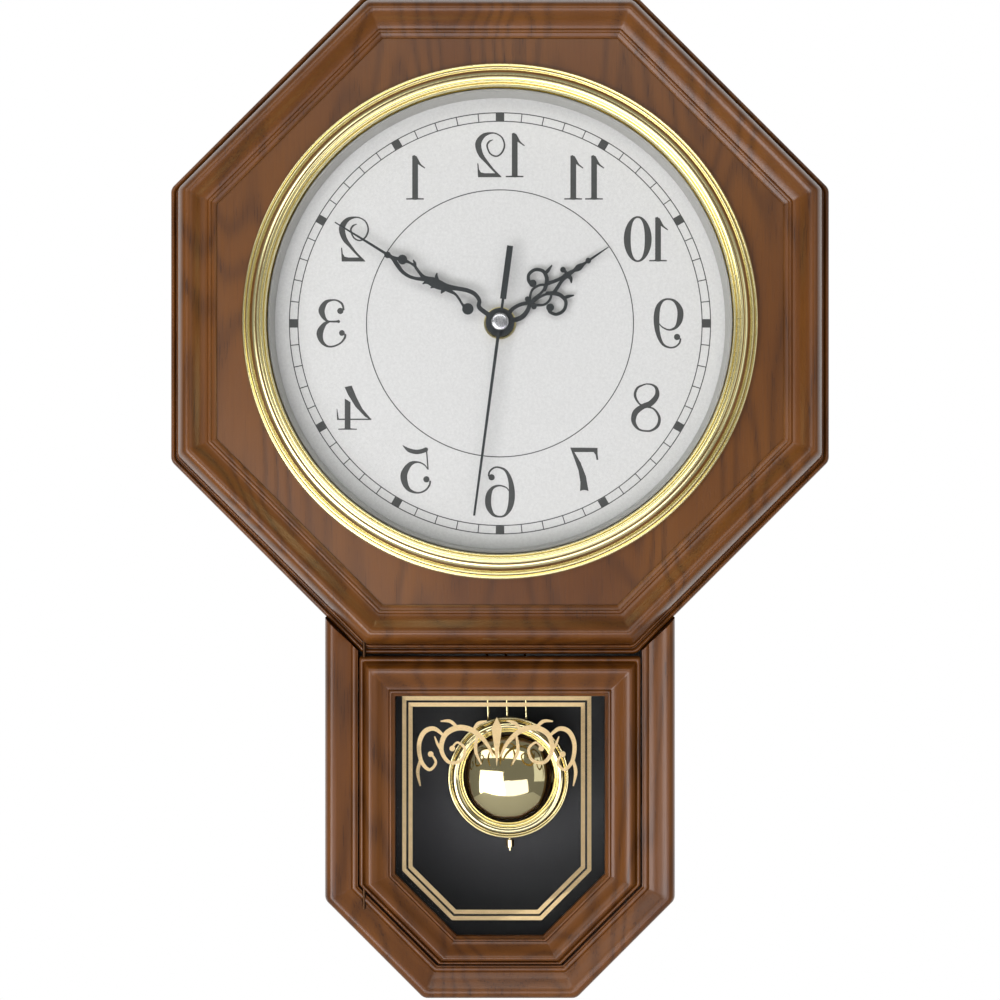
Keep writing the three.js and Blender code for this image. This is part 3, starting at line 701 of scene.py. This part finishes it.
# Numerals on a height of 100, as strokes of (x, z, width), balls of (x, z, radius) and polygons.
DIGITS = {
    "1": {
        POLYGONS: [[(-6.5, 2), (6.5, 2), (6.4, 98), (0.7, 100), (-6.5, 80)]],
        STROKES: [
            [(-22, 70.5, 2.5), (-12, 78, 4), (-5, 86, 8), (0, 95, 8)],
            [(-19.5, 1.5, 3), (-8, 1.8, 3.5), (0, 2.5, 6), (8, 1.8, 3.5), (20, 1.5, 3)],
        ],
    },
    "2": {
        STROKES: [[
            (-5.5, 84, 1.5), (3, 80, 4), (8, 70, 4), (1, 53, 3.5), (-13, 47, 3.5), (-25, 55, 4),
            (-31, 71, 4), (-26, 88, 3.5), (-14, 97, 3), (-1, 99, 4), (15, 94, 9), (26, 81, 13),
            (27.5, 68, 13.5), (21.5, 50, 11), (9, 34, 7), (-5.5, 17, 5), (-22, 1, 4),
        ]],
        POLYGONS: [[
            (-25, 0), (28.5, 0), (30, 31), (27.5, 31), (26, 18), (22, 11), (14, 9), (-12, 9), (-20, 4),
        ]],
    },
    "3": {
        BALLS: [(-20.7, 78.3, 7), (-16.7, 54.7, 3.5), (-24.3, 29, 6.5)],
        STROKES: [
            [(-28.3, 80, 4), (-25, 93.3, 5), (-15, 101, 4), (-3.3, 102.7, 4), (11.7, 97.7, 9),
             (21, 81.7, 14), (18.3, 68.3, 11), (11.7, 58.3, 6), (3.3, 54.7, 4), (-16.7, 54.7, 5)],
            [(3.3, 54.7, 4), (15, 48.3, 9), (25, 30, 15), (21.7, 11.7, 10), (10, 0, 5), (-5, -1, 4),
             (-21.7, 6.7, 4), (-30.7, 18.3, 5), (-31.7, 25.7, 5)],
        ],
    },
    "4": {
        POLYGONS: [
            [(4, 99), (20, 95.6), (12, 78), (-4, 52), (-26, 29), (-34, 24.5), (-40, 23.4), (-20, 47),
             (-6, 74)],
            [(28, 22), (37, 22), (37.8, 47), (36.5, 47), (33, 25)],
            [(6.8, 3), (19.7, 3), (19.7, 70), (6.8, 62)],
        ],
        STROKES: [
            [(-40, 23.4, 3), (37, 23.4, 3)],
            [(-7.5, 1.2, 2.4), (5, 1.6, 3.2), (13, 2.5, 5), (21, 1.6, 3.2), (34, 1.2, 2.4)],
        ],
    },
    "5": {
        BALLS: [(-21.8, 30.2, 7)],
        STROKES: [
            [(-21.8, 97.3, 10), (-11.7, 93.3, 10), (1.7, 91.6, 10), (16.8, 95.3, 9),
             (26.8, 102.3, 4), (31.5, 106.7, 1)],
            [(-21.8, 99, 3), (-25.5, 52, 3)],
            [(-25.5, 52, 2), (-16.8, 63, 3), (-1.7, 68.8, 4), (15.1, 63.8, 10), (27.9, 43.6, 15),
             (26.8, 23.5, 14), (16.8, 6.7, 8), (-1.7, 0, 4), (-18.5, 5, 4), (-28.5, 16.8, 4),
             (-30.2, 26.8, 4)],
        ],
    },
    "6": {
        BALLS: [(19.5, 88.2, 7)],
        STROKES: [[
            (26.3, 90.9, 4), (23.9, 101, 4), (14.5, 109.4, 4), (2.7, 110.4, 4), (-12.5, 102.7, 6),
            (-22.6, 80.8, 10), (-25.9, 50.5, 14), (-22.6, 23.6, 12), (-12.5, 5, 6), (1, 0, 4),
            (16.2, 5, 7), (26.3, 23.6, 13), (26.3, 47.1, 13), (17.8, 64, 7), (2.7, 69.7, 4),
            (-12.5, 65.7, 3), (-19.9, 57.2, 2),
        ]],
    },
    "7": {
        POLYGONS: [
            [(-31, 97.6), (30.3, 98.3), (20.9, 88.2), (-21.9, 88.2), (-26.3, 82.5), (-28.6, 70.7),
             (-32.7, 70.7), (-31, 84.2)],
            [(20.9, 88.2), (6.7, 64), (-5, 33.7), (-10.8, 0.7), (-5, 2.7), (-1.3, 3.4), (3.4, 2.7),
             (8.4, 0.7), (7.4, 20.2), (11.8, 47.1), (20.2, 70.7), (30.3, 98.3)],
        ],
    },
    "8": {
        STROKES: [[
            (0, 104.4, 3), (18.5, 96, 5), (24.6, 79.1, 6), (16.8, 62.3, 4), (5, 54.5, 4),
            (-16.8, 48.8, 4), (-29.6, 30.3, 6), (-26.9, 11.8, 7), (-13.5, 0.7, 5), (0, -1, 4),
            (16.8, 3.4, 5), (27.6, 20.2, 10), (23.6, 40.4, 13), (6.7, 53.9, 12), (-10.1, 60.6, 13),
            (-24.2, 77.4, 11), (-23.6, 94.3, 7), (-13.5, 102.7, 4), (0, 104.4, 3),
        ]],
    },
    "9": {
        BALLS: [(-19.2, 21.9, 7)],
        STROKES: [[
            (-26.9, 18.5, 4), (-24.6, 8.4, 4), (-15.2, 0, 4), (-1.7, -1.7, 4), (13.5, 6.7, 6),
            (23.6, 30.3, 10), (26.9, 60.6, 13), (23.6, 87.5, 11), (13.5, 102.7, 6), (0, 106.7, 4),
            (-15.2, 101, 7), (-25.9, 82.5, 13), (-25.3, 60.6, 13), (-16.8, 43.8, 7),
            (-1.7, 37.7, 4), (13.5, 43.8, 3), (21.2, 52.2, 2),
        ]],
    },
    "0": {
        STROKES: [[
            (23.5 * math.sin(math.radians(a)), 50 + 49.5 * math.cos(math.radians(a)),
             4 + 11.5 * math.sin(math.radians(a)) ** 2)
            for a in range(0, 361, 15)
        ]],
    },
}
NUMERALS = {
    1: [("1", 0)], 2: [("2", 0)], 3: [("3", 0)], 4: [("4", 0)], 5: [("5", 0)], 6: [("6", 0)],
    7: [("7", 0)], 8: [("8", 0)], 9: [("9", 0)],
    10: [("1", -27.3), ("0", 18.2)],
    11: [("1", -23.3), ("1", 23.3)],
    12: [("1", -35.7), ("2", 18.2)],
}
NUMERAL_R = 77.4
NUMERAL_SCALE = 20.5 / 100


def extent(drawing):
    """Middle of a drawing's box."""
    outlines = drawing.get(POLYGONS, []) + [ribbon(stroke) for stroke in drawing.get(STROKES, [])]
    across = [x for outline in outlines for x, _ in outline]
    upward = [z for outline in outlines for _, z in outline]
    return (min(across) + max(across)) / 2, (min(upward) + max(upward)) / 2


for hour, digits in NUMERALS.items():
    drawing = {
        key: [
            [(x + shift, *rest) for x, *rest in shape]
            for digit, shift in digits for shape in DIGITS[digit].get(key, [])
        ]
        for key in (POLYGONS, STROKES)
    }
    drawing[BALLS] = [
        (x + shift, z, radius)
        for digit, shift in digits for x, z, radius in DIGITS[digit].get(BALLS, [])
    ]
    middle_x, middle_z = extent(drawing)
    angle = math.radians(30 * hour)
    at_x, at_z = -NUMERAL_R * math.sin(angle), NUMERAL_R * math.cos(angle)

    def numeral_place(x, y, z):
        return point(at_x - (x - middle_x) * NUMERAL_SCALE, y, at_z + (z - middle_z) * NUMERAL_SCALE)

    printed(f"numeral_{hour}", [merged(drawing, DIAL_Y, DIAL_Y - PRINT_THICK, numeral_place)])


# ---------------------------------------------------------------- hands

HAND_THICK = 0.7
SECOND_HAND_THICK = 0.6
MINUTE_ANGLE = 58.8
HOUR_ANGLE = 300 + MINUTE_ANGLE / 12
SECOND_ANGLE = 172.4


def turned_place(degrees, centre_z=0.0):
    """Places a drawing that points up, turned anticlockwise about (0, centre_z)."""
    cosine, sine = math.cos(math.radians(degrees)), math.sin(math.radians(degrees))

    def place(x, y, z):
        return point(x * cosine - z * sine, y, centre_z + x * sine + z * cosine)

    return place


HOUR_HAND = {
    STROKES: [
        [(0.6, 4.2, 2.6), (-1.2, 6.2, 2.0), (-1.9, 8.8, 1.7), (-1.5, 12.3, 1.7), (-0.2, 15.4, 1.7),
         (0.9, 17.0, 1.8)],
        [(1.2, 4.4, 2.2), (3.0, 6.8, 2.2), (3.6, 10.0, 2.2), (2.7, 13.3, 2.0), (1.0, 15.9, 1.8),
         (0.0, 17.2, 1.6)],
        [(0.2, 16.4, 1.3), (-2.2, 18.4, 1.2), (-3.9, 20.9, 1.1), (-3.8, 24.3, 1.1), (-2.6, 26.4, 1.2),
         (-1.2, 25.6, 1.1), (-0.4, 22.8, 1.1), (-0.2, 20.0, 1.3), (0.3, 17.6, 1.6)],
        [(0.7, 16.6, 1.3), (3.0, 18.4, 1.2), (4.8, 21.4, 1.1), (4.5, 24.4, 1.1), (3.0, 26.4, 1.2),
         (1.7, 25.4, 1.1), (0.9, 22.4, 1.1), (0.7, 19.8, 1.3), (0.6, 17.6, 1.6)],
        [(-6.4, 22.2, 2.4), (-8.3, 21.8, 1.5), (-10.6, 23.6, 1.5), (-10.7, 27.0, 1.5),
         (-8.2, 29.6, 1.6), (-4.9, 29.4, 1.8), (-2.4, 27.6, 1.9), (-0.6, 25.0, 1.6)],
        [(7.4, 22.4, 2.4), (9.0, 21.6, 1.5), (11.6, 23.4, 1.5), (12.0, 27.2, 1.5),
         (9.4, 30.2, 1.6), (5.8, 30.0, 1.8), (3.1, 28.0, 1.9), (1.2, 25.2, 1.6)],
        [(-6.6, 29.4, 1.2), (-7.0, 31.6, 1.6), (-8.0, 34.6, 0.5)],
        [(7.4, 30.2, 1.2), (7.9, 32.2, 1.6), (9.1, 35.0, 0.5)],
        [(-2.6, 27.4, 1.8), (-1.5, 30.6, 1.6), (-0.7, 34.5, 1.6), (-0.4, 37.7, 2.2)],
        [(3.0, 27.8, 1.8), (1.8, 30.8, 1.6), (0.4, 34.4, 1.6), (-0.2, 37.7, 2.2)],
        [(-0.3, 37.3, 2.2), (-1.8, 37.9, 1.4), (-3.4, 37.5, 1.6)],
        [(-0.3, 37.3, 2.2), (1.6, 38.2, 1.8), (3.8, 37.2, 0.6)],
        [(-0.3, 36.0, 2.6), (-0.3, 39.6, 2.0), (-0.2, 41.6, 1.6), (-0.1, 44.0, 3.0),
         (-0.1, 46.4, 1.6), (-0.1, 48.4, 1.1), (-0.1, 52.0, 1.0), (0.0, 60.5, 0.4)],
    ],
    BALLS: [
        (-1.7, 16.5, 1.2), (2.9, 16.9, 1.2), (-6.2, 22.6, 1.7), (7.4, 22.8, 1.8),
        (-3.4, 37.5, 1.3), (-0.2, 49.4, 1.3), (0, 0, 5.2),
    ],
}
MINUTE_HAND = {
    STROKES: [
        [(0, 0, 3.0), (0.2, 6, 2.2), (0.9, 11.6, 2.0), (3.6, 13.2, 1.8), (5.0, 16.4, 1.9),
         (4.7, 20.2, 1.9), (3.0, 24.8, 2.0), (1.3, 28.8, 2.8), (0.3, 32.0, 4.2), (-0.1, 35.4, 4.4),
         (-0.6, 38.6, 3.0), (-0.7, 41.0, 2.2)],
        [(-2.3, 15.4, 2.6), (-2.0, 18.6, 1.2), (-0.6, 21.4, 1.1), (0.4, 24.2, 1.2), (0.3, 27.6, 1.8),
         (0.2, 31.0, 2.6)],
        [(1.2, 34.2, 2.2), (2.8, 35.6, 1.4), (4.3, 36.2, 0.5)],
        [(-1.2, 37.6, 2.2), (-2.2, 38.6, 1.2), (-3.3, 39.2, 0.5)],
        [(-1.0, 33.8, 2.2), (-2.0, 34.6, 1.2), (-3.0, 35.1, 0.5)],
        [(-0.4, 29.6, 2.2), (-1.6, 29.8, 1.4), (-2.5, 29.8, 0.6)],
        [(-0.8, 39.8, 2.2), (0.3, 43.0, 1.4), (1.6, 46.0, 1.3), (2.9, 47.2, 1.3), (3.8, 48.6, 0.5)],
        [(1.9, 46.4, 1.4), (1.9, 49.4, 1.1), (1.4, 52.6, 2.2)],
        [(-1.2, 39.8, 1.8), (-2.8, 43.2, 1.5), (-3.6, 46.6, 1.5), (-3.3, 50.2, 1.7),
         (-1.9, 53.6, 2.0), (-0.4, 57.0, 1.8), (-0.2, 60.0, 1.6)],
        [(1.4, 53.0, 2.2), (0.4, 55.4, 1.6), (-0.3, 58.0, 1.6)],
        [(-0.2, 58.0, 1.7), (-0.2, 62.0, 1.2), (-0.1, 70.0, 1.1), (0, 88.1, 0.5)],
    ],
    BALLS: [(-2.4, 15.7, 2.6), (1.4, 52.9, 2.2), (-0.3, 59.8, 1.5), (0, 0, 6.5)],
}
SECOND_HAND = {
    STROKES: [[(0, 0, 1.5), (0, 89, 1.0)], [(0, 0, 1.3), (0, -11, 1.2)]],
    POLYGONS: [[(-1.4, -34.9), (1.4, -34.9), (1.4, -10.5), (-1.4, -10.5)]],
    BALLS: [(0, 0, 2.6)],
}


def cut_out(name, drawing, material, body, y_back, y_front, place, replaces=(), slot="hand_black"):
    return add_mesh(name, *merged(drawing, y_back, y_front, place), material, body, replaces, slot)


HOUR_Y = span("hour_hand")[1].y
MINUTE_Y = span("minute_hand")[1].y
SECOND_Y = span("second_hand")[1].y
cut_out("hour_hand_cut_out", HOUR_HAND, HAND, "hour_train", HOUR_Y, HOUR_Y - HAND_THICK,
        turned_place(HOUR_ANGLE), ["hour_hand"])
cut_out("minute_hand_cut_out", MINUTE_HAND, HAND, "minute_train", MINUTE_Y,
        MINUTE_Y - HAND_THICK, turned_place(MINUTE_ANGLE), ["minute_hand"])
cut_out("second_hand_cut_out", SECOND_HAND, HAND, "seconds_train", SECOND_Y,
        SECOND_Y - SECOND_HAND_THICK, turned_place(SECOND_ANGLE), ["second_hand"])

CAP_Y = span("second_hand_cap")[1].y
cap_profile = [(0, CAP_Y)] + catmull([
    (3.9, CAP_Y), (3.9, CAP_Y - 0.5), (3.5, CAP_Y - 0.95), (2.4, CAP_Y - 1.2), (0, CAP_Y - 1.3),
], 4)
add_mesh("second_hand_cap_domed", *turned(cap_profile, 48), STEEL, "seconds_train",
         ["second_hand_cap"], "steel", 40)

NUT_Y = span("hand_nut")[1].y
nut_profile = [
    (STEM_HOLE_R, NUT_Y), (7.4, NUT_Y), (7.4, NUT_Y - 1.5), (7.0, NUT_Y - 1.9),
    (STEM_HOLE_R, NUT_Y - 1.9),
]
add_mesh("hand_nut_turned", *turned(nut_profile, 64), BRASS, CASE, ["hand_nut"], "brass", 30)


# ---------------------------------------------------------------- pendulum

PENDULUM_ANGLE = 1.2
PIVOT_Z = -20.0
BOB_BELOW_PIVOT = 191.8
BOB_X = BOB_BELOW_PIVOT * math.sin(math.radians(PENDULUM_ANGLE))
BOB_Z = PIVOT_Z - BOB_BELOW_PIVOT * math.cos(math.radians(PENDULUM_ANGLE))
BOB_BACK = span("pendulum_bob")[1].y
BOB_HEIGHT = 10.5
DOME_R = 34.7

bob_profile = smooth_section(
    [(0, BOB_BACK), (27.2, BOB_BACK)],
    [(27.2, BOB_BACK), (28.3, BOB_BACK - 0.3), (28.8, BOB_BACK - 1.2), (28.5, BOB_BACK - 2.2),
     (27.9, BOB_BACK - 2.5), (27.4, BOB_BACK - 2.1)],
    [(27.3, BOB_BACK - 0.9), (27.0, BOB_BACK - 0.9)],
    [(26.9, BOB_BACK - 1.8), (26.4, BOB_BACK - 3.1), (25.2, BOB_BACK - 3.8), (23.9, BOB_BACK - 3.7),
     (22.9, BOB_BACK - 3.0), (22.6, BOB_BACK - 2.3)],
    [(radius, BOB_BACK - BOB_HEIGHT + DOME_R - math.sqrt(DOME_R ** 2 - radius ** 2))
     for radius in (22.4, 20, 17, 14, 11, 8, 5, 2.5, 0)],
    steps=8,
)
add_mesh("pendulum_bob_polished", *turned(bob_profile, 192, BOB_X, BOB_Z), BRASS, "pendulum",
         ["pendulum_bob"], "brass", 30)


# ---------------------------------------------------------------- gilt print on the door's glass

GILT_THICK = 0.05
GILT_X = -1.5
GILT_OUTLINE = cut_corner_outline(43.8, -172.0, -275.7, 23.0, GILT_X)


def frame_line(outline, outer, inner):
    """The sides of a line of even width that runs round inside an outline."""
    count = len(outline)
    sides = []
    for i in range(count):
        j = (i + 1) % count
        sides.append([
            inset_corner(outline, i, [outer] * count), inset_corner(outline, j, [outer] * count),
            inset_corner(outline, j, [inner] * count), inset_corner(outline, i, [inner] * count),
        ])
    return {POLYGONS: sides}


def gilt(name, drawing):
    cut_out(name, drawing, GILT, "door", GLASS_BACK + GILT_THICK, GLASS_BACK, point, (), "brass")


gilt("gilt_line_outer", frame_line(GILT_OUTLINE, 0, 1.9))
gilt("gilt_line_inner", frame_line(GILT_OUTLINE, 2.9, 4.8))

SCROLL_STROKES = [
    [(1.6, -200, 0.8), (5.0, -193.5, 1.8), (11.0, -188, 2.4), (18.0, -186.6, 2.6),
     (24.0, -190, 2.4), (25.6, -197, 2.0), (22.0, -202.6, 1.6), (16.4, -201.6, 1.4),
     (14.8, -196.4, 1.2), (18.2, -193.4, 1.0), (20.8, -196, 0.9)],
    [(11.0, -188, 1.0), (8.6, -184.6, 1.6), (4.6, -183.4, 0.6)],
    [(18.0, -186.8, 1.2), (21.6, -183.6, 1.6), (26.0, -183.6, 0.6)],
    [(24.4, -190.4, 1.0), (29.0, -187.0, 2.0), (33.6, -188.6, 2.2), (36.0, -194.4, 2.0),
     (35.0, -202.0, 1.8), (31.2, -206.0, 1.4), (28.2, -202.6, 1.2), (30.6, -198.4, 0.9)],
    [(35.2, -201.0, 1.2), (36.6, -207.0, 1.6), (35.4, -213.6, 0.6)],
    [(25.4, -197.4, 1.2), (27.4, -194.2, 1.2), (28.8, -190.6, 0.5)],
    [(9.0, -190.0, 1.0), (9.8, -197.0, 1.6), (7.2, -203.6, 0.6)],
]
SCROLL_BALLS = [(20.6, -196.2, 1.3), (30.6, -198.8, 1.3)]
scroll = {
    STROKES: [
        [(GILT_X + side * x, z, width) for x, z, width in stroke]
        for side in (-1, 1) for stroke in SCROLL_STROKES
    ],
    BALLS: [(GILT_X + side * x, z, radius) for side in (-1, 1) for x, z, radius in SCROLL_BALLS],
    POLYGONS: [
        [(GILT_X, -181.6), (GILT_X + 2.4, -186.6), (GILT_X, -204.6), (GILT_X - 2.4, -186.6)],
    ],
}
gilt("gilt_scroll", scroll)


# ---------------------------------------------------------------- finishes of the plain CAD pieces

SLOT_MATERIALS = {
    "wood": WOOD, "face_wood": FACE_WOOD, "black_board": BLACK, "brass": BRASS, "steel": STEEL,
    "grey_plastic": REFLECTOR, "black_plastic": PLASTIC, "white_plastic": NYLON, "dial": DIAL,
    "hand_black": HAND, "glass": DOOR_GLASS, "copper": COPPER, "bronze": BRONZE,
}
for subpart in frame["record"]["subparts"]:
    piece = frame["nodes"][subpart["node"]]
    piece.data.materials.clear()
    piece.data.materials.append(SLOT_MATERIALS[subpart["material_slot"]])

SOFT_EDGED = ["face_panel", "backboard", "movement_housing", "movement_cover", "door_magnet",
              "hanger_plate", "door_strike"]
SOFT_EDGED += [f"case_board_{side}" for side in DROP_SIDES]
for node in SOFT_EDGED:
    bevel = frame["nodes"][node].modifiers.new("Soft edges", "BEVEL")
    bevel.width = 0.25 * MM
    bevel.segments = 2
    bevel.limit_method = "ANGLE"
    bevel.angle_limit = math.radians(50)


# ---------------------------------------------------------------- studio

MIDDLE_Z = (cad_box[0][2] + cad_box[1][2]) / 2
CAMERA_DISTANCE = 0.9
CAMERA_BELOW_DIAL = 0.0811
CAMERA_LENS = 65.7
FLOOR_BELOW_PART = 0.35


def area_light(name, location, target, size, power, colour=(1, 1, 1)):
    data = bpy.data.lights.new(name, "AREA")
    data.shape = "RECTANGLE"
    data.size, data.size_y = size
    data.energy = power
    data.color = colour
    light = bpy.data.objects.new(name, data)
    light.location = location
    light.rotation_euler = (Vector(target) - Vector(location)).to_track_quat("-Z", "Y").to_euler()
    bpy.context.scene.collection.objects.link(light)


area_light("key_light", (-0.8, -1.6, -0.75), (0, 0, MIDDLE_Z), (1.3, 1.3), 18)
area_light("top_light", (-0.3, -1.5, 0.7), (0, -0.05, -0.1), (2.4, 0.5), 10)
area_light("low_light", (-0.2, -1.45, -0.9), (0, 0, -0.35), (2.4, 0.7), 13, (0.95, 0.91, 1.0))
area_light("fill_light", (1.7, -1.3, -0.1), (0, 0, MIDDLE_Z), (0.9, 1.3), 3, (0.96, 0.97, 1.0))

# A white room behind the clock and a greyer one in front of it.
world = bpy.data.worlds.new("studio")
bpy.context.scene.world = world
world.use_nodes = True
sky = Graph(world)
background = next(node for node in sky.nodes if node.type == "BACKGROUND")
direction = sky.nodes.new("ShaderNodeTexCoord")
axes = sky.nodes.new("ShaderNodeSeparateXYZ")
sky.link(direction.outputs["Generated"], axes.inputs[0])
facing = sky.maths("ADD", sky.maths("MULTIPLY", axes.outputs[1], 0.5), 0.5)
sky.link(sky.ramp(facing, (0.5, grey(0.25)), (0.8, grey(1.0))), background.inputs["Color"])
background.inputs["Strength"].default_value = 1.0

floor_material = plain("pale_floor", srgb(225, 225, 225), 0.6)
floor_mesh = bpy.data.meshes.new("studio_floor")
FLOOR_Z = cad_box[0][2] - FLOOR_BELOW_PART
floor_mesh.from_pydata(
    [(-0.6, -0.7, FLOOR_Z), (0.6, -0.7, FLOOR_Z), (0.6, 0.5, FLOOR_Z), (-0.6, 0.5, FLOOR_Z)],
    [], [(0, 1, 2, 3)],
)
floor_mesh.materials.append(floor_material)
floor = bpy.data.objects.new("studio_floor", floor_mesh)
bpy.context.scene.collection.objects.link(floor)

camera_data = bpy.data.cameras.new("front_camera")
camera_data.lens = CAMERA_LENS
camera_data.sensor_width = 36
camera = bpy.data.objects.new("front_camera", camera_data)
camera.location = (0, -CAMERA_DISTANCE, DIAL_Z * MM - CAMERA_BELOW_DIAL)
camera.rotation_euler = (math.pi / 2, 0, 0)
bpy.context.scene.collection.objects.link(camera)
bpy.context.scene.camera = camera
bpy.context.scene.view_settings.view_transform = "Standard"
